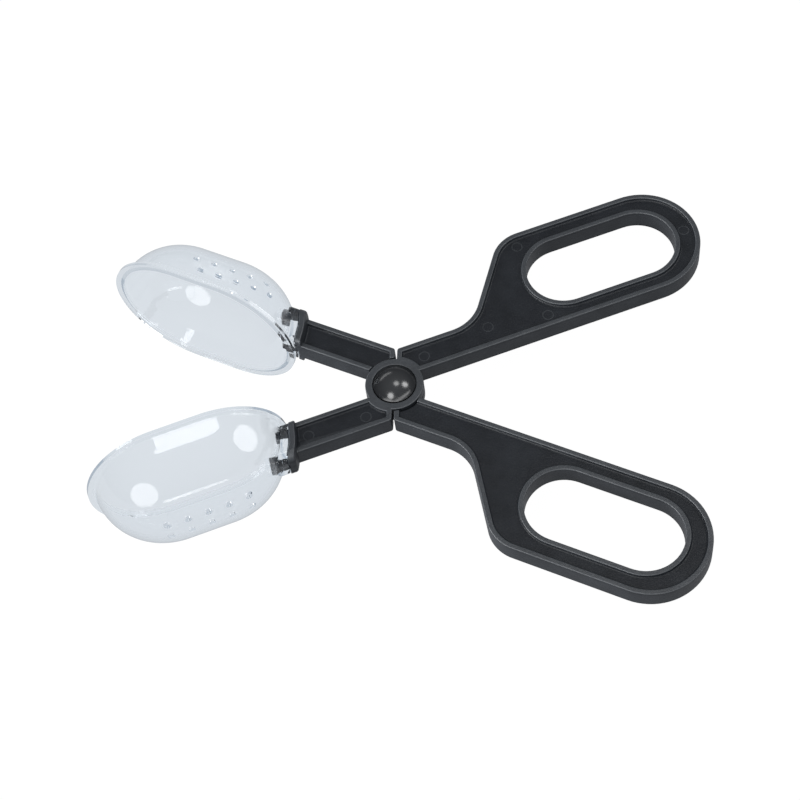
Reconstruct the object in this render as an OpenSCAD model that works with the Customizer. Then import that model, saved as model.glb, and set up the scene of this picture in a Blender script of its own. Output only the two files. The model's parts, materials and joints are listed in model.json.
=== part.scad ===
// Scissor-action scoop tongs: two identical plastic arms on a snap rivet, each carrying a clear scoop.
// The origin is the middle of the resting tongs: half way along them, on their centre line, and half
// way up the hub. +X runs towards the handles and +Z is the direction of the pivot axis. Both arms are
// drawn along X round the pivot axis, as when closed, and are then opened and put in place.

/* [Pose] */
// Angle between each arm's bars and the X axis, in the open resting position
open_angle = 21.73; // [18:0.01:24]

/* [Arm] */
// Thickness of the arm moulding
arm_t = 8; // [7:0.1:10]
// Distance from the centre line to an arm's inner edge, when closed
inner_edge = 1.8; // [1.2:0.1:3]
// Distance from the centre line to the outer edge of the bars
bar_edge = 13.2; // [12.4:0.1:14]
// Distance from the centre line to the outer edge of the finger loop
loop_edge = 43.4; // [41:0.1:46]
// Distance from the pivot axis to the tip of the handle
handle_reach = 123.2; // [118:0.1:130]
// Place along the handle where its outer edge starts to swing out
neck_end = 26.3; // [24:0.1:30]
// Radius of the inside bend between the bar and the loop
inside_bend_r = 14.6; // [12:0.1:16]
// Radius of the outside bend at the start of the loop
outside_bend_r = 13.4; // [11:0.1:15]
// Slope of the edge between the two bends, in degrees
bend_slope = 55.2; // [50:0.1:60]
// Radius of the finger hole's two ends
finger_r = 13.4; // [12:0.1:13.6]
// Distance between the centres of the finger hole's two ends
finger_travel = 28.5; // [24:0.1:30]
// Width of the loop beyond the far end of the finger hole
loop_tip_w = 9.2; // [8:0.1:11]
// Distance from the loop's middle line to the finger hole's, towards the centre line
finger_shift = 0.4; // [0:0.1:1]
// Width of the rib that runs round each edge
rib_w = 1.8; // [1.4:0.1:2.2]
// Depth of the recess inside the ribs, on both faces
recess_depth = 1.3; // [0.8:0.1:2]
// Radius of the corners where two arms face each other at the hub
shoulder_r = 1.1; // [0.6:0.1:1.4]

/* [Hub] */
// Radius of the ring that holds the rivet
hub_r = 10.25; // [9.6:0.05:10.8]
// Extra reach of the level ring face before the recess starts
ring_land = 1; // [0.6:0.1:1.6]
// Air gap between the two lapped rings
lap_gap = 0.2; // [0.1:0.05:0.4]
// Air gap round a ring, in the other arm
ring_clearance = 0.4; // [0.3:0.05:0.6]
// Distance from the centre line to a shoulder face, so that the shoulders can meet
shoulder_gap = 0.4; // [0.35:0.01:0.5]

/* [Rivet] */
// Radius of the domed heads
dome_r = 7.4; // [6.8:0.1:7.6]
// Height of a dome above the ring face
dome_h = 3.2; // [2:0.1:4]
// Depth of the seat that a head sits in
seat_depth = 1.2; // [0.8:0.1:1.6]
// Air gap between a head's edge and its seat
seat_gap = 0.3; // [0.15:0.05:0.4]
// Radius of the rivet's sleeve, which the rings turn on
sleeve_r = 4; // [3.5:0.1:4.4]
// Running clearance between the sleeve and the rings, on the radius
running_clearance = 0.08; // [0.03:0.01:0.1]
// Radius of the pin that snaps into the sleeve
pin_r = 2.4; // [2:0.1:2.6]
// Gap left between the pin and the sleeve, on the radius
pin_gap = 0.02; // [0.01:0.01:0.05]

/* [Scoop] */
// Radius of the rounded ends of the scoop's mouth
mouth_r = 27.9; // [27:0.1:29]
// Distance from the pivot axis to the mouth's near end
mouth_start = 40; // [39.5:0.1:41]
// Distance between the centres of the mouth's two ends
mouth_travel = 16.5; // [12:0.1:20]
// Depth of the scoop from its rim to the outside of its floor
scoop_depth = 23.4; // [22:0.1:24.5]
// Radius of the curve that blends the wall into the floor
floor_blend_r = 22.7; // [20:0.1:22.9]
// Draft of the wall near the rim, in degrees
wall_draft = 12.5; // [9:0.1:14]
// Thickness of the scoop's wall
wall_t = 1.4; // [1.2:0.1:1.8]
// Width of the lip round the rim
lip_w = 1.5; // [1.2:0.1:2]
// Thickness of the lip
lip_t = 1.5; // [1.2:0.1:1.5]
// Angle by which the rim leans away from the arm's centre line
rim_lean = 0.58; // [0.3:0.01:1]
// Air gap between a rim and the plane where the two rims meet
rim_gap = 0.05; // [0.02:0.01:0.2]
// Diameter of a vent hole
vent_d = 2.4; // [1.6:0.1:3]
// Distance between vents along the scoop
vent_pitch = 7.3; // [6:0.1:8]
// Distance between the two rows of vents
vent_row_pitch = 7.6; // [5:0.1:9]
// Distance from the scoop's middle to the vents' middle, towards the hub
vent_shift = 1; // [0:0.1:2]

/* [Scoop mounting] */
// Thickness of the clear pad on the scoop's back
pad_t = 2.6; // [1.8:0.1:2.8]
// Air gap between the pad and the arm's flange
pad_gap = 0.3; // [0.2:0.05:0.4]
// Thickness of the arm's flange
flange_t = 2.1; // [1.6:0.1:2.4]
// Height of the flange, along the pivot axis
flange_h = 13.4; // [12:0.1:14]
// How far the flange's edge stands past the arm's inner edge
flange_rise = 0.4; // [0:0.1:0.8]
// Distance from the rim to the flange's outer edge
flange_reach = 15.6; // [15:0.1:16.4]
// Radius of the flange's corners on the arm's inner side
inner_corner_r = 1.6; // [1:0.1:2.4]
// Radius of the flange's corners on the arm's outer side
outer_corner_r = 3.6; // [2:0.1:4]
// Radius of the pegs that hold the scoop
peg_r = 1.9; // [1.7:0.1:2.1]
// Lean of the pegs towards the rim, in degrees
peg_tilt = 10; // [6:1:14]
// Outer radius of the sockets that take the pegs
socket_r = 3.1; // [3:0.1:3.3]
// Radial clearance between a peg and its socket
peg_clearance = 0.06; // [0.03:0.01:0.1]

/* [Hidden] */
$fn = 96;
// overlap that keeps joined or cut faces from coinciding
eps = 0.01;
arm_colour = [0.13, 0.14, 0.15];
scoop_colour = [0.86, 0.9, 0.93, 0.35];
rivet_colour = [0.05, 0.05, 0.055];

// handle outline
loop_end_r = (loop_edge - inner_edge) / 2;
loop_mid = (loop_edge + inner_edge) / 2;
loop_end_x = handle_reach - loop_end_r;
finger_far_x = handle_reach - loop_tip_w - finger_r;
finger_near_x = finger_far_x - finger_travel;
finger_mid = loop_mid - finger_shift;
slope_dir = [cos(bend_slope), sin(bend_slope)];
slope_out = [-sin(bend_slope), cos(bend_slope)];
inside_bend_c = [neck_end, bar_edge + inside_bend_r];
slope_start = inside_bend_c - inside_bend_r * slope_out;
outside_bend_y = loop_edge - outside_bend_r;
slope_run = (outside_bend_y + outside_bend_r * slope_out[1] - slope_start[1]) / slope_dir[1];
slope_end = slope_start + slope_run * slope_dir;
outside_bend_c = slope_end - outside_bend_r * slope_out;

// hub; head_z is where a domed head's flat underside lies
half_t = arm_t / 2;
half_lap = lap_gap / 2;
seat_r = dome_r + seat_gap;
bore_r = sleeve_r + running_clearance;
end_play = 0.1;
head_z = half_t - seat_depth + end_play;
pin_end_gap = 1;

// scoop section: the outside of the wall is a straight drafted line blended into a flat floor
wall_top_r = mouth_r - lip_w;
blend_depth = scoop_depth - floor_blend_r;
blend_c_r = wall_top_r - blend_depth * tan(wall_draft) - floor_blend_r / cos(wall_draft);
near_c = mouth_start + mouth_r;
far_c = near_c + mouth_travel;
// how far a vent's cutter runs past both sides of the floor
vent_over = 2;

// flange: its two faces are the scoop's own surface moved outwards by these amounts
flange_in = pad_t + pad_gap;
flange_out = flange_in + flange_t;
flange_top = inner_edge - flange_rise;
// the shank and the flange's outline both run this far, and are then cut by those faces
shank_reach = 50;
block_start = mouth_start - 2 * flange_out;
pad_inset = 0.2;

// pegs and sockets, the inner one first: depths are measured from the rim plane
root_depths = [3.8, 13.8];
tip_reach = [45.3, 50.7];
socket_floor = 1.2;
peg_end_gap = 0.3;
ridge_h = 0.15;
ridge_pitch = 0.8;
ridge_count = 4;

// shallow ejector marks on the arm's upper face: places along the handle and the shank
mark_r = 2;
mark_depth = 0.12;
mark_ring_w = 0.35;
mark_places = [
    [13.6, 7.3], [38.6, 10.2], [60, 6.9], [60.4, 38.3], [118.4, 22.1],
    [-13.4, -8.2], [-34.2, -7.8]
];

// the pivot axis stands slightly behind the origin, since the scoops and the handles differ in reach
handle_tip_x = loop_end_x * cos(open_angle) - loop_mid * sin(open_angle) + loop_end_r;
scoop_tip_x = rim_gap * sin(open_angle + rim_lean) - (far_c + mouth_r) * cos(open_angle + rim_lean);
pivot_x = -(handle_tip_x + scoop_tip_x) / 2;

// Opens an arm's shape and puts it in place. The lower arm is the upper one turned over.
module opened(turned_over) {
    translate([pivot_x, 0, 0])
        rotate([turned_over ? 180 : 0, 0, 0])
            rotate([0, 0, open_angle]) children();
}

// ---- arm ----

// The handle seen from above, with every edge moved inwards by inset. The two bends overlap the
// straight edges that run into them by eps, so that each edge crosses its bend cleanly.
module handle_outline(inset) {
    lean = tan(open_angle);
    face_x = (shoulder_gap + inset) / cos(open_angle);
    low = inner_edge + inset;
    high = bar_edge - inset;
    difference() {
        union() {
            polygon([
                [face_x + low * lean, low],
                [face_x + high * lean, high],
                [neck_end, high],
                slope_start - inset * slope_out,
                slope_end - inset * slope_out,
                [outside_bend_c[0], loop_edge - inset],
                [loop_end_x, loop_edge - inset],
                [loop_end_x, low]
            ]);
            translate(outside_bend_c) circle(outside_bend_r - inset + eps);
            translate([loop_end_x, loop_mid]) circle(loop_end_r - inset);
        }
        translate(inside_bend_c) circle(inside_bend_r + inset + eps);
    }
}

// The shank that carries the scoop, with its edges moved inwards by inset.
module shank_outline(inset) {
    lean = tan(open_angle);
    face_x = (shoulder_gap + inset) / cos(open_angle);
    low = -bar_edge + inset;
    high = -inner_edge - inset;
    polygon([
        [low * lean - face_x, low],
        [high * lean - face_x, high],
        [-shank_reach, high],
        [-shank_reach, low]
    ]);
}

// What rounding takes off the outer corner of the handle's shoulder.
module shoulder_corner() {
    corner = [(shoulder_gap / cos(open_angle)) + bar_edge * tan(open_angle), bar_edge];
    tangent = shoulder_r * tan(45 - open_angle / 2);
    difference() {
        polygon([
            corner + [-eps, eps],
            corner + [tangent, eps],
            corner + [tangent, -shoulder_r],
            corner - (tangent + eps) * [sin(open_angle), cos(open_angle)]
        ]);
        translate(corner + [tangent, -shoulder_r]) circle(shoulder_r);
    }
}

// The finger hole, grown by grow.
module finger_hole(grow) {
    translate([finger_near_x, finger_mid]) circle(finger_r + grow);
    translate([finger_far_x, finger_mid]) circle(finger_r + grow);
    translate([finger_near_x, finger_mid - finger_r - grow])
        square([finger_travel, 2 * (finger_r + grow)]);
}

// Both bars at full thickness.
module arm_bars() {
    translate([0, 0, -half_t]) linear_extrude(arm_t) difference() {
        union() {
            handle_outline(0);
            shank_outline(0);
        }
        finger_hole(0);
        shoulder_corner();
        rotate(180) shoulder_corner();
    }
}

// The area inside the ribs. keep_r leaves the hub's level face standing.
module recess_area(keep_r) {
    difference() {
        union() {
            handle_outline(rib_w);
            shank_outline(rib_w);
        }
        finger_hole(rib_w);
        if (keep_r > 0) circle(keep_r);
    }
}

// One ring of the ejector marks.
module ejector_mark() {
    difference() {
        cylinder(h = recess_depth + mark_depth, r = mark_r);
        translate([0, 0, -eps]) cylinder(h = arm_t, r = mark_r - mark_ring_w);
    }
}

// A peg with crush ridges; its tip is at the origin and its root at -Z.
module peg(length) {
    plain = length / 2;
    translate([0, 0, -length]) cylinder(h = length, r = peg_r - ridge_h);
    translate([0, 0, -length]) cylinder(h = plain, r = peg_r);
    for (i = [1:ridge_count])
        translate([0, 0, -i * ridge_pitch])
            cylinder(h = ridge_pitch / 2, r1 = peg_r, r2 = peg_r - ridge_h);
}

// The plate at the end of the shank, parallel to the back of the scoop.
module flange() {
    in_scoop_frame() intersection() {
        difference() {
            near_end_solid(flange_out);
            near_end_solid(flange_in);
        }
        back_block(0);
    }
}

// Both pegs, rooted in the middle of the flange.
module pegs() {
    in_scoop_frame() for (i = [0, 1])
        at_bore_end(i) translate([0, 0, -peg_end_gap]) peg(bore_length(i) - peg_end_gap);
}

module arm_moulding() {
    difference() {
        union() {
            difference() {
                arm_bars();
                in_scoop_frame() near_end_solid(flange_in + flange_t / 2);
                // room for the other arm's ring, in the lower half
                translate([0, 0, half_lap - arm_t]) cylinder(h = arm_t, r = hub_r + ring_clearance);
                // recesses in the upper and the lower face
                translate([0, 0, half_t - recess_depth]) linear_extrude(recess_depth + eps)
                    recess_area(hub_r + ring_land);
                translate([0, 0, -half_t - eps]) linear_extrude(recess_depth + eps)
                    recess_area(0);
                for (place = mark_places)
                    translate([place[0], place[1], half_t - recess_depth - mark_depth]) ejector_mark();
            }
            // this arm's own ring fills the upper half of the hub
            translate([0, 0, half_lap]) cylinder(h = half_t - half_lap, r = hub_r);
            flange();
            pegs();
        }
        // bore for the sleeve, and the seat of the domed head
        translate([0, 0, -arm_t]) cylinder(h = 2 * arm_t, r = bore_r);
        translate([0, 0, half_t - seat_depth]) cylinder(h = arm_t, r = seat_r);
    }
}

// ---- scoop ----

// Turns a shape drawn along the arm's centre line onto the scoop's own, slightly leaning, line.
module lean_frame() {
    rotate([0, 0, rim_lean]) children();
}

// Maps a shape drawn with +X away from the hub and +Z as depth onto the scoop's place.
module in_scoop_frame() {
    lean_frame() rotate([-90, 0, 180]) children();
}

// Half section of the bowl with its surface moved outwards by grow: x is the radius, y the depth.
module bowl_section(grow) {
    blend_r = floor_blend_r + grow;
    intersection() {
        union() {
            polygon([
                [0, 0],
                [wall_top_r + grow / cos(wall_draft), 0],
                [blend_c_r + blend_r * cos(wall_draft), blend_depth + blend_r * sin(wall_draft)],
                [blend_c_r, blend_depth + blend_r],
                [0, blend_depth + blend_r]
            ]);
            translate([blend_c_r, blend_depth]) circle(blend_r);
        }
        square(2 * mouth_r);
    }
}

// The hub end of the bowl, as a solid of revolution about its own depth axis.
module near_end_solid(grow) {
    translate([near_c, 0, 0]) rotate_extrude() bowl_section(grow);
}

// The whole bowl as a filled solid.
module bowl_solid(grow) {
    near_end_solid(grow);
    translate([far_c, 0, 0]) rotate_extrude() bowl_section(grow);
    translate([near_c, 0, 0]) rotate([90, 0, 90]) linear_extrude(mouth_travel) {
        bowl_section(grow);
        mirror([1, 0]) bowl_section(grow);
    }
}

// A stadium-shaped slab, as wide as the mouth at the given end radius.
module stadium_slab(r, h) {
    translate([near_c, 0, 0]) cylinder(h = h, r = r);
    translate([far_c, 0, 0]) cylinder(h = h, r = r);
    translate([near_c, -r, 0]) cube([mouth_travel, 2 * r, h]);
}

// Distance from the pivot axis to the back of the bowl, grown by grow, at a given depth.
function back_x(depth, grow) = near_c - blend_c_r
    - sqrt(pow(floor_blend_r + grow, 2) - pow(depth - blend_depth, 2));

// A block behind the scoop, with the flange's outline as seen from the hub, moved inwards by inset.
module back_block(inset) {
    top = flange_top + inset;
    bottom = flange_reach - inset;
    width = flange_h - 2 * inset;
    translate([block_start, 0, 0]) rotate([90, 0, 90]) linear_extrude(shank_reach - block_start) {
        for (side = [-1, 1]) {
            translate([side * (width / 2 - inner_corner_r), top + inner_corner_r]) circle(inner_corner_r);
            translate([side * (width / 2 - outer_corner_r), bottom - outer_corner_r]) circle(outer_corner_r);
        }
        translate([inner_corner_r - width / 2, top])
            square([width - 2 * inner_corner_r, bottom - top - outer_corner_r]);
        translate([outer_corner_r - width / 2, top + inner_corner_r])
            square([width - 2 * outer_corner_r, bottom - top - inner_corner_r]);
        translate([-width / 2, top + inner_corner_r])
            square([width, bottom - top - inner_corner_r - outer_corner_r]);
    }
}

// Pad on the back of the scoop, which faces the flange.
module pad() {
    intersection() {
        near_end_solid(pad_t);
        back_block(pad_inset);
    }
}

// Length of a socket's bore, from the middle of the flange to its closed end.
function bore_length(i) =
    (tip_reach[i] - back_x(root_depths[i], (flange_in + flange_out) / 2)) / cos(peg_tilt);

// Depth of the closed end of a socket's bore.
function tip_depth(i) = root_depths[i] - bore_length(i) * sin(peg_tilt);

// Places a shape at the closed end of a bore, with +Z onwards along the peg.
module at_bore_end(i) {
    translate([tip_reach[i], 0, tip_depth(i)]) rotate([0, 90 + peg_tilt, 0]) children();
}

// A closed socket for a peg, running into the bowl from its back.
module socket(i) {
    intersection() {
        at_bore_end(i) translate([0, 0, -bore_length(i)])
            cylinder(h = bore_length(i) + socket_floor, r = socket_r);
        near_end_solid(0);
    }
}

module socket_bore(i) {
    at_bore_end(i) translate([0, 0, -bore_length(i)])
        cylinder(h = bore_length(i), r = peg_r + peg_clearance);
}

// Two rows of vents through the floor.
module vents() {
    middle = (near_c + far_c) / 2 - vent_shift;
    translate([middle, 0, scoop_depth - wall_t - vent_over])
        for (column = [-2:2])
            for (side = [-1, 1])
                translate([column * vent_pitch, side * vent_row_pitch / 2, 0])
                    cylinder(h = wall_t + 2 * vent_over, r = vent_d / 2);
}

module scoop_moulding() {
    in_scoop_frame() difference() {
        union() {
            difference() {
                union() {
                    bowl_solid(0);
                    stadium_slab(mouth_r, lip_t);
                    pad();
                }
                bowl_solid(-wall_t);
            }
            socket(0);
            socket(1);
        }
        socket_bore(0);
        socket_bore(1);
        vents();
        // the rim stops just short of the plane where the two rims meet
        translate([0, -2 * mouth_r, -mouth_r]) cube([2 * far_c, 4 * mouth_r, mouth_r + rim_gap]);
    }
}

// ---- rivet ----

// A domed head whose rim starts at z = 0 and stands seat_h deep in its seat.
module domed_head(seat_h) {
    sphere_r = (dome_r * dome_r + dome_h * dome_h) / (2 * dome_h);
    cylinder(h = seat_h, r = dome_r);
    translate([0, 0, seat_h]) intersection() {
        translate([0, 0, dome_h - sphere_r]) sphere(sphere_r);
        cylinder(h = dome_h, r = dome_r);
    }
}

// ---- nodes ----

module upper_arm() {
    color(arm_colour) opened(false) arm_moulding();
}

module lower_arm() {
    color(arm_colour) opened(true) arm_moulding();
}

module upper_scoop() {
    color(scoop_colour) opened(false) scoop_moulding();
}

module lower_scoop() {
    color(scoop_colour) opened(true) scoop_moulding();
}

// The upper dome with its sleeve, which runs through both rings.
module pivot_rivet() {
    color(rivet_colour) translate([pivot_x, 0, 0]) difference() {
        union() {
            translate([0, 0, head_z]) domed_head(half_t - head_z);
            translate([0, 0, eps - head_z]) cylinder(h = 2 * head_z - eps, r = sleeve_r);
        }
        translate([0, 0, -half_t]) cylinder(h = half_t + head_z, r = pin_r);
    }
}

// The lower dome with the pin that snaps into the sleeve.
module pivot_cap() {
    color(rivet_colour) translate([pivot_x, 0, 0]) rotate([180, 0, 0]) {
        translate([0, 0, head_z]) domed_head(half_t - head_z);
        translate([0, 0, pin_end_gap - head_z])
            cylinder(h = 2 * head_z - pin_end_gap + eps, r = pin_r - pin_gap);
    }
}

upper_arm();
lower_arm();
upper_scoop();
lower_scoop();
pivot_rivet();
pivot_cap();
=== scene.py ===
import json
import math

import bmesh
import bpy
import numpy as np
from mathutils import Matrix, Vector
from mathutils.bvhtree import BVHTree

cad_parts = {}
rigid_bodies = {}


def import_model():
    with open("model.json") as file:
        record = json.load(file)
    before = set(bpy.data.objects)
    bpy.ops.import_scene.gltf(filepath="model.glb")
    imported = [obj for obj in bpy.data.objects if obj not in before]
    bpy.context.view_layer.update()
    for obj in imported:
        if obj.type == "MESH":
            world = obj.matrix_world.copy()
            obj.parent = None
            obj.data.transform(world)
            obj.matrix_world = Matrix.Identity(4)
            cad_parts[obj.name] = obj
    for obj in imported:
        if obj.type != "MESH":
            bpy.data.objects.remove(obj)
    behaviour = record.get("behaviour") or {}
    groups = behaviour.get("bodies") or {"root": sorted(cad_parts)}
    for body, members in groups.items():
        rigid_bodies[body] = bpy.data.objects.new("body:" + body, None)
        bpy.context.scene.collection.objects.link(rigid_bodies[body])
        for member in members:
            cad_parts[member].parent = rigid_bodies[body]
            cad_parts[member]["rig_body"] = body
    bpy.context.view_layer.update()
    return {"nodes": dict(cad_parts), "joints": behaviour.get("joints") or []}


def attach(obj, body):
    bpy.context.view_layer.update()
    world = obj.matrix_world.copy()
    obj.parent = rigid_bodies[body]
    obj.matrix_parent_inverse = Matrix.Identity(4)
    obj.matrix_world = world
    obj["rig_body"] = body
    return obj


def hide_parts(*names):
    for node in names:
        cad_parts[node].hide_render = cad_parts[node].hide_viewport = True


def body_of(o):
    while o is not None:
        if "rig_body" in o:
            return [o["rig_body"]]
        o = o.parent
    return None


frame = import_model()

# Sizes are in metres, angles in degrees unless a line turns them into radians, and colours in linear
# red, green and blue.

MM = 0.001
HUB = Vector(frame["joints"][0]["pos_m"])

# ---- camera ----

# it looks straight down at the hub, leans back about X until it is VIEW_RISE above the horizon, then
# rolls about Y and turns about Z
VIEW_TURN = -2.512
VIEW_ROLL = -4.903
VIEW_RISE = 59.340
VIEW_DISTANCE = 0.667
NEAREST_SEEN = 0.01
LENS_MM = 85.85
LENS_SHIFT = (0.0059, -0.0133)

# ---- floor and room ----

# colours as the camera sees them, as they show through clear plastic, and as the object reflects them
WHITE = (1.0, 1.0, 1.0)
FLOOR_SEEN = (0.99, 0.99, 0.99)
THROUGH = (0.68, 0.722, 0.766)
FLOOR_REFLECTED = (0.42, 0.43, 0.45)
ROOM_HORIZON = (0.17, 0.18, 0.2)
ROOM_ZENITH = (0.82, 0.86, 0.9)
# the part of the floor's colour that takes shadows
FLOOR_MATT = (0.04, 0.04, 0.04)
# half of the floor's side, and the air between the floor and the tongs where they come closest
FLOOR_HALF = 3.0
FLOOR_GAP = 0.05 * MM
# the search for the floor's slope: its limits and its number of steps
STEEPEST = 0.5
SLOPE_STEPS = 50
# from the hub to every light
LIGHT_DISTANCE = 1.2
# a ray's depth counts whole bounces, so more than this means one or more
HALF_BOUNCE = 0.5

# ---- shape of the black mouldings ----

# an arm's levels, as distances from the middle plane, and how close to a level a point has to be
RECESS_FLOOR = 2.7 * MM
RIB_TOP = 4 * MM
ON_LEVEL = 0.05 * MM
# depth of an ejector mark under the recess floor
MARK_DEPTH = 0.12 * MM
# mending of the CAD mesh: points this close are one, edges this short go, faces this level are one
WELD = 1e-7
SHORT_EDGE = 0.05 * MM
FLAT_ANGLE = math.radians(0.5)
# rounding radii of long outer edges, long edges of the recess floors and rims of the ejector marks
EDGE_ROUND = 0.42 * MM
FLOOR_FILLET = 0.7 * MM
MARK_ROUND = 0.1 * MM
ROUND_STEPS = 4
MARK_STEPS = 2
# a group of sharp edges that spans less than this belongs to an ejector mark or a peg
SMALL_FEATURE = 7 * MM
SHARP_ANGLE = math.radians(28)
# a bevelled point further than this from the old surface has been thrown off
STRAY = 0.28 * MM
# the pegs lie on the -X side of the hub, further than PEG_REACH from it; the points of a ring round a
# peg lie within PEG_RING of its centre, and are pushed out by PEG_PRESS
PEG_REACH = 38 * MM
PEG_RING = 2 * MM
PEG_PRESS = 0.25 * MM

# ---- looks of the black mouldings ----

# colours of the recesses, darkened by painted shade, and of the ribs, painted lighter, each from the dark
# to the pale end of its clouds
SHADED_RECESS_COLOURS = ((0.0012, 0.0020, 0.0036), (0.0052, 0.0064, 0.0088))
LIT_RIB_COLOURS = ((0.0085, 0.0102, 0.0128), (0.0155, 0.0178, 0.0210))
# colour of the painted highlight on the rounded edges and ejector marks, where it is brightest
PAINTED_HIGHLIGHT = (0.038, 0.041, 0.045)
# sizes of the clouds and of the two grains, and the depth of each grain
CLOUD = 7 * MM
FINE_GRAIN = 0.25 * MM
COARSE_GRAIN = 0.7 * MM
FINE_BUMP = 0.035 * MM
COARSE_BUMP = 0.08 * MM
GRAIN_STRENGTH = 0.9
BLACK_ROUGHNESS = (0.36, 0.48)
# shine of the recesses and of the ribs
BLACK_SHINE = (0.19, 0.40)
# painted lightness of an upright outer wall, out of the recess shade, beside that of a rib's top
WALL_LIGHTNESS = 0.7
# heights over which the painted highlight on the rounded edges comes in, and over which that on the ejector
# marks comes in and goes again
EDGE_BAND = (RIB_TOP - 1.5 * EDGE_ROUND, RIB_TOP - EDGE_ROUND)
MARK_BAND_LOW = (RECESS_FLOOR - 2 * MARK_DEPTH, RECESS_FLOOR - 1.5 * MARK_DEPTH)
MARK_BAND_HIGH = (RECESS_FLOOR - 0.8 * MARK_DEPTH, RECESS_FLOOR - 0.2 * MARK_DEPTH)
# strength of the painted highlight on the ejector marks: the least, and what a cloud adds at most
MARK_LEAST = 0.2
MARK_CLOUDED = 0.5

# ---- looks of the rivet ----

POLISHED_COLOUR = (0.003, 0.0032, 0.0038)
POLISHED_SHINE = 0.6
POLISHED_ROUGHNESS = (0.15, 0.22)
PEEL = 1.6 * MM
PEEL_BUMP = 0.008 * MM
PEEL_STRENGTH = 0.6
SMEAR = 3 * MM
SMEAR_STRETCH = (1.0, 3.0, 1.0)

# ---- looks of the scoops ----

CLEAR_COLOUR = (0.985, 0.992, 0.998)
CLEAR_INDEX = 1.5
CLEAR_ROUGHNESS = (0.0, 0.03)
CLEAR_SMEAR = 6 * MM
WAVE = 14 * MM
WAVE_BUMP = 0.03 * MM
WAVE_STRENGTH = 0.5
# a ray that has turned more often than this inside the plastic leaves it, tinted by LET_OUT
MOST_TURNS = 2.5
LET_OUT = (0.84, 0.865, 0.89)

# nearly all of a noise lies within this range
NOISE_RANGE = (0.3, 0.7)


# ---- materials ----

def new_material(name):
    """An empty node material: itself, its nodes, its links and its output node."""
    material = bpy.data.materials.new(name)
    material.use_nodes = True
    nodes = material.node_tree.nodes
    nodes.clear()
    output = nodes.new("ShaderNodeOutputMaterial")
    return material, nodes, material.node_tree.links, output


def noise(nodes, links, size, detail, stretch=(1.0, 1.0, 1.0)):
    """Noise whose lumps are about size across, in the object's own space. Detail adds finer lumps."""
    coords = nodes.new("ShaderNodeTexCoord")
    mapping = nodes.new("ShaderNodeMapping")
    mapping.inputs["Scale"].default_value = stretch
    texture = nodes.new("ShaderNodeTexNoise")
    texture.inputs["Scale"].default_value = 1.0 / size
    texture.inputs["Detail"].default_value = detail
    links.new(coords.outputs["Object"], mapping.inputs["Vector"])
    links.new(mapping.outputs["Vector"], texture.inputs["Vector"])
    return texture.outputs["Fac"]


def map_range(nodes, links, value, old, new=(0.0, 1.0)):
    """Moves a value from the range old to the range new, and keeps it inside that."""
    ramp = nodes.new("ShaderNodeMapRange")
    ramp.inputs["From Min"].default_value = old[0]
    ramp.inputs["From Max"].default_value = old[1]
    ramp.inputs["To Min"].default_value = new[0]
    ramp.inputs["To Max"].default_value = new[1]
    links.new(value, ramp.inputs["Value"])
    return ramp.outputs["Result"]


def bump(nodes, links, height, distance, strength, below=None):
    """Bumps the surface by height, on top of another bump if one is given."""
    node = nodes.new("ShaderNodeBump")
    node.inputs["Strength"].default_value = strength
    node.inputs["Distance"].default_value = distance
    links.new(height, node.inputs["Height"])
    if below is not None:
        links.new(below, node.inputs["Normal"])
    return node.outputs["Normal"]


def calculate(nodes, links, operation, *values):
    """A sum done by a math node. Each value is a number or a node's output."""
    node = nodes.new("ShaderNodeMath")
    node.operation = operation
    for socket, value in zip(node.inputs, values):
        if isinstance(value, (int, float)):
            socket.default_value = value
        else:
            links.new(value, socket)
    return node.outputs["Value"]


def blend_of(nodes, links, factor, low, high):
    """A colour between low and high. Each of the two is a colour or a node's output."""
    mix = nodes.new("ShaderNodeMix")
    mix.data_type = "RGBA"
    for name, colour in (("A", low), ("B", high)):
        if isinstance(colour, tuple):
            mix.inputs[name].default_value = (*colour, 1)
        else:
            links.new(colour, mix.inputs[name])
    links.new(factor, mix.inputs["Factor"])
    return mix.outputs["Result"]


def up_part(nodes, links, vector):
    """How much of a vector points along Z, up or down."""
    split = nodes.new("ShaderNodeSeparateXYZ")
    links.new(vector, split.inputs["Vector"])
    return calculate(nodes, links, "ABSOLUTE", split.outputs["Z"])


def height_ramp(nodes, links, band):
    """0 below a band of distances from the tongs' middle plane, rising to 1 above it."""
    coords = nodes.new("ShaderNodeTexCoord")
    return map_range(nodes, links, up_part(nodes, links, coords.outputs["Object"]), band)


def steepness(nodes, links):
    """0 on faces that look straight up or down, 1 on upright walls."""
    geometry = nodes.new("ShaderNodeNewGeometry")
    up = up_part(nodes, links, geometry.outputs["Normal"])
    return calculate(nodes, links, "SUBTRACT", 1.0, calculate(nodes, links, "MULTIPLY", up, up))


def out_of_recess_shade(nodes, links, steep):
    """Painted shade: 1 on rib tops and WALL_LIGHTNESS on outer walls, 0 down in the darker recesses."""
    raised = height_ramp(nodes, links, (RECESS_FLOOR, RIB_TOP))
    above_floor = height_ramp(nodes, links, (RECESS_FLOOR, RECESS_FLOOR + FLOOR_FILLET))
    low = calculate(nodes, links, "MULTIPLY_ADD", above_floor, -WALL_LIGHTNESS, WALL_LIGHTNESS)
    return calculate(nodes, links, "MAXIMUM", raised, calculate(nodes, links, "MULTIPLY", steep, low))


def edge_highlight_mask(nodes, links, steep):
    """Painted highlight: 1 half way round the rounded edges of the ribs and rings, 0 on their tops, walls
    and recesses.
    The product of steep and level is a quarter at most, so four times it peaks at 1."""
    level = calculate(nodes, links, "SUBTRACT", 1.0, steep)
    tilted = calculate(nodes, links, "MULTIPLY", calculate(nodes, links, "MULTIPLY", steep, level), 4.0)
    return calculate(nodes, links, "MULTIPLY", tilted, height_ramp(nodes, links, EDGE_BAND))


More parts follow.
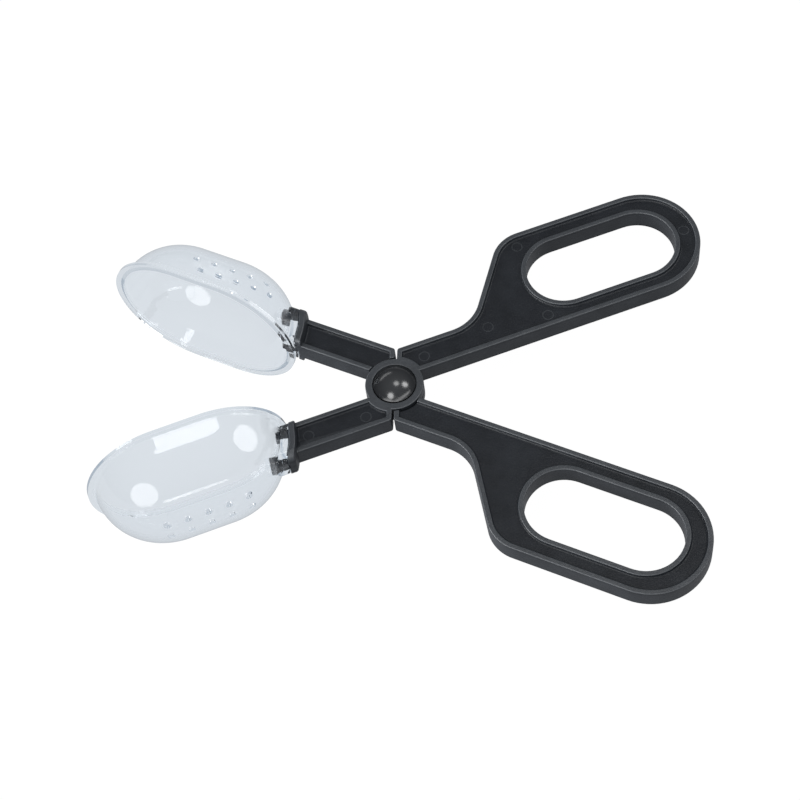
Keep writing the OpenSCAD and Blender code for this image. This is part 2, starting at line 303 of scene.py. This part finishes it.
def mark_highlight_mask(nodes, links, steep):
    """1 on the floors of the ejector marks, where a painted highlight makes them brighter than the recess
    round them.
    """
    below = height_ramp(nodes, links, MARK_BAND_LOW)
    above = height_ramp(nodes, links, MARK_BAND_HIGH)
    level = calculate(nodes, links, "SUBTRACT", 1.0, steep)
    return calculate(nodes, links, "MULTIPLY", calculate(nodes, links, "SUBTRACT", below, above), level)


def black_moulding():
    """Black plastic with its mould's spark grain, painted shade in the recesses and painted highlights on
    edges and marks.
    """
    material, nodes, links, output = new_material("black_moulding")
    shader = nodes.new("ShaderNodeBsdfPrincipled")
    fine = noise(nodes, links, FINE_GRAIN, detail=2.0)
    coarse = noise(nodes, links, COARSE_GRAIN, detail=3.0)
    cloud = map_range(nodes, links, noise(nodes, links, CLOUD, detail=5.0), NOISE_RANGE)
    steep = steepness(nodes, links)
    # painted shade: darker colours down in the recesses, lighter ones on the ribs and outer walls
    unshaded = out_of_recess_shade(nodes, links, steep)
    shaded_recess = blend_of(nodes, links, cloud, *SHADED_RECESS_COLOURS)
    lit_rib = blend_of(nodes, links, cloud, *LIT_RIB_COLOURS)
    flat = blend_of(nodes, links, unshaded, shaded_recess, lit_rib)
    # painted highlight on the ejector marks, patchy with the clouds
    patchy = calculate(nodes, links, "MULTIPLY_ADD", cloud, MARK_CLOUDED, MARK_LEAST)
    mark_highlight = calculate(nodes, links, "MULTIPLY", mark_highlight_mask(nodes, links, steep), patchy)
    # painted highlight along the rounded edges of the ribs and rings, and on the ejector marks
    painted_highlight = calculate(nodes, links, "MAXIMUM", edge_highlight_mask(nodes, links, steep), mark_highlight)
    links.new(blend_of(nodes, links, painted_highlight, flat, PAINTED_HIGHLIGHT), shader.inputs["Base Color"])
    shine = map_range(nodes, links, unshaded, (0.0, 1.0), BLACK_SHINE)
    links.new(shine, shader.inputs["Specular IOR Level"])
    rough = map_range(nodes, links, coarse, NOISE_RANGE, BLACK_ROUGHNESS)
    links.new(rough, shader.inputs["Roughness"])
    lumps = bump(nodes, links, coarse, COARSE_BUMP, GRAIN_STRENGTH)
    grain = bump(nodes, links, fine, FINE_BUMP, GRAIN_STRENGTH, lumps)
    links.new(grain, shader.inputs["Normal"])
    links.new(shader.outputs["BSDF"], output.inputs["Surface"])
    return material


def polished_black():
    """Polished black plastic, very slightly orange-peeled."""
    material, nodes, links, output = new_material("polished_black")
    shader = nodes.new("ShaderNodeBsdfPrincipled")
    shader.inputs["Base Color"].default_value = (*POLISHED_COLOUR, 1)
    shader.inputs["Specular IOR Level"].default_value = POLISHED_SHINE
    smear = noise(nodes, links, SMEAR, detail=3.0, stretch=SMEAR_STRETCH)
    rough = map_range(nodes, links, smear, NOISE_RANGE, POLISHED_ROUGHNESS)
    links.new(rough, shader.inputs["Roughness"])
    peel = bump(nodes, links, noise(nodes, links, PEEL, detail=1.0), PEEL_BUMP, PEEL_STRENGTH)
    links.new(peel, shader.inputs["Normal"])
    links.new(shader.outputs["BSDF"], output.inputs["Surface"])
    return material


def clear_plastic():
    """Clear polystyrene, faintly wavy. Light reaches the floor through it, and a ray that is caught
    inside a wall or a rim leaves it after a few turns."""
    material, nodes, links, output = new_material("clear_plastic")
    shader = nodes.new("ShaderNodeBsdfPrincipled")
    shader.inputs["Base Color"].default_value = (*CLEAR_COLOUR, 1)
    shader.inputs["Transmission Weight"].default_value = 1.0
    shader.inputs["IOR"].default_value = CLEAR_INDEX
    smear = noise(nodes, links, CLEAR_SMEAR, detail=3.0)
    rough = map_range(nodes, links, smear, NOISE_RANGE, CLEAR_ROUGHNESS)
    links.new(rough, shader.inputs["Roughness"])
    wavy = bump(nodes, links, noise(nodes, links, WAVE, detail=1.0), WAVE_BUMP, WAVE_STRENGTH)
    links.new(wavy, shader.inputs["Normal"])
    let_out = nodes.new("ShaderNodeBsdfTransparent")
    let_out.inputs["Color"].default_value = (*LET_OUT, 1)
    path = nodes.new("ShaderNodeLightPath")
    caught = calculate(nodes, links, "GREATER_THAN", path.outputs["Glossy Depth"], MOST_TURNS)
    straight = calculate(nodes, links, "MAXIMUM", caught, path.outputs["Is Shadow Ray"])
    mix = nodes.new("ShaderNodeMixShader")
    links.new(straight, mix.inputs["Fac"])
    links.new(shader.outputs["BSDF"], mix.inputs[1])
    links.new(let_out.outputs["BSDF"], mix.inputs[2])
    links.new(mix.outputs["Shader"], output.inputs["Surface"])
    return material


def ray_choice(nodes, links, seen, reflected):
    """One colour for rays from the camera, THROUGH for rays that went through clear plastic, and one for
    all others."""
    path = nodes.new("ShaderNodeLightPath")
    passed = calculate(nodes, links, "GREATER_THAN", path.outputs["Transmission Depth"], HALF_BOUNCE)
    indirect = blend_of(nodes, links, passed, reflected, THROUGH)
    return blend_of(nodes, links, path.outputs["Is Camera Ray"], indirect, seen)


def studio_white():
    """A pale floor: white to the camera with a trace of shadow, and grey in reflections."""
    material, nodes, links, output = new_material("studio_white")
    glow = nodes.new("ShaderNodeEmission")
    links.new(ray_choice(nodes, links, FLOOR_SEEN, FLOOR_REFLECTED), glow.inputs["Color"])
    matt = nodes.new("ShaderNodeBsdfDiffuse")
    matt.inputs["Color"].default_value = (*FLOOR_MATT, 1)
    both = nodes.new("ShaderNodeAddShader")
    links.new(glow.outputs["Emission"], both.inputs[0])
    links.new(matt.outputs["BSDF"], both.inputs[1])
    links.new(both.outputs["Shader"], output.inputs["Surface"])
    return material


# ---- black mouldings ----

def sharp_groups(bm):
    """The mesh's sharp edges, in groups that hang together. A dict keeps them in the same order every
    run, where a set would not."""
    left = dict.fromkeys(e for e in bm.edges if e.is_manifold and e.calc_face_angle(0) > SHARP_ANGLE)
    groups = []
    while left:
        waiting = [left.popitem()[0]]
        group = []
        while waiting:
            edge = waiting.pop()
            group.append(edge)
            for vert in edge.verts:
                for other in vert.link_edges:
                    if other in left:
                        del left[other]
                        waiting.append(other)
        groups.append(group)
    return groups


def span(edges):
    """Length of the diagonal of the box round some edges."""
    points = np.array([v.co for e in edges for v in e.verts])
    return float(np.linalg.norm(points.max(0) - points.min(0)))


def on_recess_floor(edge):
    """Whether an edge lies at the height of the recess floors, on either side of the middle plane."""
    return all(abs(abs(v.co.z) - RECESS_FLOOR) < ON_LEVEL for v in edge.verts)


def round_edges(bm, chosen, radius, steps=ROUND_STEPS):
    """Rounds the edges that chosen(edge, span of its group) picks, and pulls back any point thrown off."""
    before = BVHTree.FromBMesh(bm)
    edges = []
    for group in sharp_groups(bm):
        length = span(group)
        edges += [e for e in group if chosen(e, length)]
    bmesh.ops.bevel(bm, geom=edges, offset=radius, offset_type="OFFSET", segments=steps,
                    profile=0.5, affect="EDGES", clamp_overlap=False, loop_slide=True)
    for vert in bm.verts:
        nearest, _, _, distance = before.find_nearest(vert.co)
        if distance > STRAY:
            vert.co = nearest


def circle_axis(points):
    """Centre and axis of a circle of vertices."""
    centre = sum((v.co for v in points), Vector()) / len(points)
    spoke = points[0].co - centre
    axis = max((spoke.cross(v.co - centre) for v in points), key=lambda a: a.length)
    return centre, axis.normalized()


def press_pegs(bm):
    """Swells the pegs by a hair, so that even the grooves between their ridges touch the sockets, as
    pressed-in pegs do."""
    pushes = {}
    for group in sharp_groups(bm):
        centre, axis = circle_axis(list(dict.fromkeys(v for e in group for v in e.verts)))
        if span(group) > SMALL_FEATURE or centre.x > HUB.x or (centre - HUB).length < PEG_REACH:
            continue
        for vert in bm.verts:
            spoke = vert.co - centre
            if spoke.length < PEG_RING:
                pushes[vert] = (spoke - spoke.project(axis)).normalized() * PEG_PRESS
    for vert, push in pushes.items():
        vert.co += push


def rounded_moulding(node, body, material):
    """Stands for a CAD arm: the same shape with its edges rounded and its recess floors filleted."""
    bm = bmesh.new()
    bm.from_mesh(frame["nodes"][node].data)
    bmesh.ops.remove_doubles(bm, verts=bm.verts, dist=WELD)
    bmesh.ops.dissolve_degenerate(bm, dist=SHORT_EDGE, edges=bm.edges)
    bmesh.ops.dissolve_limit(bm, angle_limit=FLAT_ANGLE, verts=bm.verts, edges=bm.edges)
    bmesh.ops.dissolve_degenerate(bm, dist=SHORT_EDGE, edges=bm.edges)
    press_pegs(bm)
    round_edges(bm, lambda e, size: size < SMALL_FEATURE and on_recess_floor(e), MARK_ROUND, MARK_STEPS)
    round_edges(bm, lambda e, size: size > SMALL_FEATURE and not e.is_convex and on_recess_floor(e),
                FLOOR_FILLET)
    round_edges(bm, lambda e, size: size > SMALL_FEATURE and e.is_convex, EDGE_ROUND)
    bmesh.ops.dissolve_degenerate(bm, dist=WELD, edges=bm.edges)
    for face in bm.faces:
        face.smooth = True
    for edge in bm.edges:
        edge.smooth = not (edge.is_manifold and edge.calc_face_angle(0) > SHARP_ANGLE)
    mesh = bpy.data.meshes.new(node + "_rounded")
    bm.to_mesh(mesh)
    bm.free()
    piece = bpy.data.objects.new(node + "_rounded", mesh)
    bpy.context.scene.collection.objects.link(piece)
    mesh.materials.append(material)
    weighted = piece.modifiers.new("weighted_normals", "WEIGHTED_NORMAL")
    weighted.keep_sharp = True
    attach(piece, body)
    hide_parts(node)
    return piece


def finish_node(node, material):
    """Gives a CAD node that stays its material."""
    piece = frame["nodes"][node]
    piece.data.materials.clear()
    piece.data.materials.append(material)
    return piece


# ---- stage ----

def swept_points():
    """Every point of the CAD nodes, at rest and with their body's joint at either limit."""
    hub = np.array(HUB)
    points = []
    for node in frame["nodes"].values():
        rest = np.array([v.co for v in node.data.vertices])
        points.append(rest)
        for joint in frame["joints"]:
            if joint["child"] in body_of(node):
                for angle in joint["range_deg"]:
                    turn = np.array(Matrix.Rotation(math.radians(angle), 3, "Z"))
                    points.append((rest - hub) @ turn.T + hub)
    return np.vstack(points)


def floor_line():
    """Slope and height at x = 0 of a floor that the tongs clear in every pose: of all lines that pass
    under them in the XZ plane, the one that is highest at x = 0."""
    points = swept_points()
    x, z = points[:, 0], points[:, 2]
    low, high = -STEEPEST, STEEPEST
    for _ in range(SLOPE_STEPS):
        third = (high - low) / 3
        if (z - (low + third) * x).min() < (z - (high - third) * x).min():
            low += third
        else:
            high -= third
    slope = (low + high) / 2
    return slope, (z - slope * x).min()


def build_floor():
    """A square floor, tilted along X so that it passes just under the tongs in every pose."""
    slope, height = floor_line()
    bm = bmesh.new()
    bmesh.ops.create_grid(bm, x_segments=1, y_segments=1, size=FLOOR_HALF)
    mesh = bpy.data.meshes.new("studio_floor")
    bm.to_mesh(mesh)
    bm.free()
    floor = bpy.data.objects.new("studio_floor", mesh)
    bpy.context.scene.collection.objects.link(floor)
    mesh.materials.append(studio_white())
    floor.rotation_euler = (0, -math.atan(slope), 0)
    floor.location = (0, 0, height - FLOOR_GAP)


def build_world():
    """White to the camera; to the object a room that is dim at the horizon and brighter overhead."""
    world = bpy.data.worlds.new("studio")
    bpy.context.scene.world = world
    world.use_nodes = True
    nodes = world.node_tree.nodes
    links = world.node_tree.links
    nodes.clear()
    output = nodes.new("ShaderNodeOutputWorld")
    coords = nodes.new("ShaderNodeTexCoord")
    split = nodes.new("ShaderNodeSeparateXYZ")
    links.new(coords.outputs["Generated"], split.inputs["Vector"])
    room = blend_of(nodes, links, split.outputs["Z"], ROOM_HORIZON, ROOM_ZENITH)
    sky = nodes.new("ShaderNodeBackground")
    links.new(ray_choice(nodes, links, WHITE, room), sky.inputs["Color"])
    links.new(sky.outputs["Background"], output.inputs["Surface"])


def receivers(name, pieces):
    """A collection that names what a light falls on."""
    group = bpy.data.collections.new(name)
    for piece in pieces:
        group.objects.link(piece)
    return group


def area_light(name, lit, turn, rise, size, brightness, depth=None, along=None):
    """A soft light aimed at the hub: a disk, or an oval if it has a depth. It falls on the receivers lit.
    It stands turn round from -Y towards +X and rise above the horizon. along is the heading of an oval's
    long side. Brightness is what a mirror shows."""
    data = bpy.data.lights.new(name, "AREA")
    data.shape = "ELLIPSE"
    data.size = size
    data.size_y = depth or size
    area = math.pi * data.size * data.size_y / 4
    data.energy = brightness * area * math.pi
    round_hub = math.radians(turn)
    above = math.radians(rise)
    level = math.cos(above)
    back = Vector((math.sin(round_hub) * level, -math.cos(round_hub) * level, math.sin(above)))
    heading = math.radians(turn if along is None else along)
    side = Vector((math.cos(heading), math.sin(heading), 0))
    side = (side - side.project(back)).normalized()
    facing = Matrix((side, back.cross(side), back)).transposed().to_4x4()
    light = bpy.data.objects.new(name, data)
    bpy.context.scene.collection.objects.link(light)
    light.matrix_world = Matrix.Translation(HUB + back * LIGHT_DISTANCE) @ facing
    light.light_linking.receiver_collection = lit


def build_lights(arms, heads, clear_pieces):
    """Soft lights on the black parts, and others that put round and long highlights on the bowls."""
    black_lit = receivers("black_lit", [*arms, *heads])
    arms_lit = receivers("arms_lit", arms)
    clear_lit = receivers("clear_lit", clear_pieces)
    area_light("front_left_disk", black_lit, turn=-24, rise=48, size=0.5, brightness=9)
    area_light("right_disk", black_lit, turn=108, rise=50, size=0.45, brightness=9)
    area_light("top_disk", black_lit, turn=152, rise=78, size=0.4, brightness=6)
    area_light("front_band", black_lit, turn=42, rise=36, size=2.0, brightness=5, depth=0.16)
    area_light("front_panel", black_lit, turn=-18, rise=26, size=1.4, brightness=4, depth=0.3)
    area_light("back_band", black_lit, turn=-145, rise=25, size=0.9, brightness=3, depth=0.16)
    area_light("low_side_panel", arms_lit, turn=-68, rise=8, size=1.4, brightness=18, depth=0.5)
    area_light("low_left_disk", clear_lit, turn=-22, rise=15, size=0.85, brightness=2.5)
    area_light("low_right_disk", clear_lit, turn=98, rise=28, size=0.95, brightness=2.5)
    area_light("overhead_strip", clear_lit, turn=150, rise=83, size=0.7, brightness=3, depth=0.26, along=36)
    area_light("low_strip", clear_lit, turn=18, rise=2, size=0.7, brightness=6, depth=0.05)


def aim_camera():
    """The camera, aimed at the hub."""
    turn = Matrix.Rotation(math.radians(-VIEW_TURN), 4, "Z")
    roll = Matrix.Rotation(math.radians(-VIEW_ROLL), 4, "Y")
    lean = Matrix.Rotation(math.radians(90 - VIEW_RISE), 4, "X")
    facing = turn @ roll @ lean
    data = bpy.data.cameras.new("camera")
    data.lens = LENS_MM
    data.shift_x, data.shift_y = LENS_SHIFT
    data.clip_start = NEAREST_SEEN
    camera = bpy.data.objects.new("camera", data)
    bpy.context.scene.collection.objects.link(camera)
    camera.matrix_world = Matrix.Translation(HUB + facing.col[2].to_3d() * VIEW_DISTANCE) @ facing
    bpy.context.scene.camera = camera


# ---- the object ----

black = black_moulding()
upper = rounded_moulding("upper_arm", "upper_arm", black)
lower = rounded_moulding("lower_arm", "lower_arm", black)
clear = clear_plastic()
bowls = [finish_node("upper_scoop", clear), finish_node("lower_scoop", clear)]
polished = polished_black()
heads = [finish_node("pivot_rivet", polished), finish_node("pivot_cap", polished)]

build_floor()
build_world()
build_lights([upper, lower], heads, bowls)
aim_camera()
bpy.context.scene.view_settings.view_transform = "Standard"
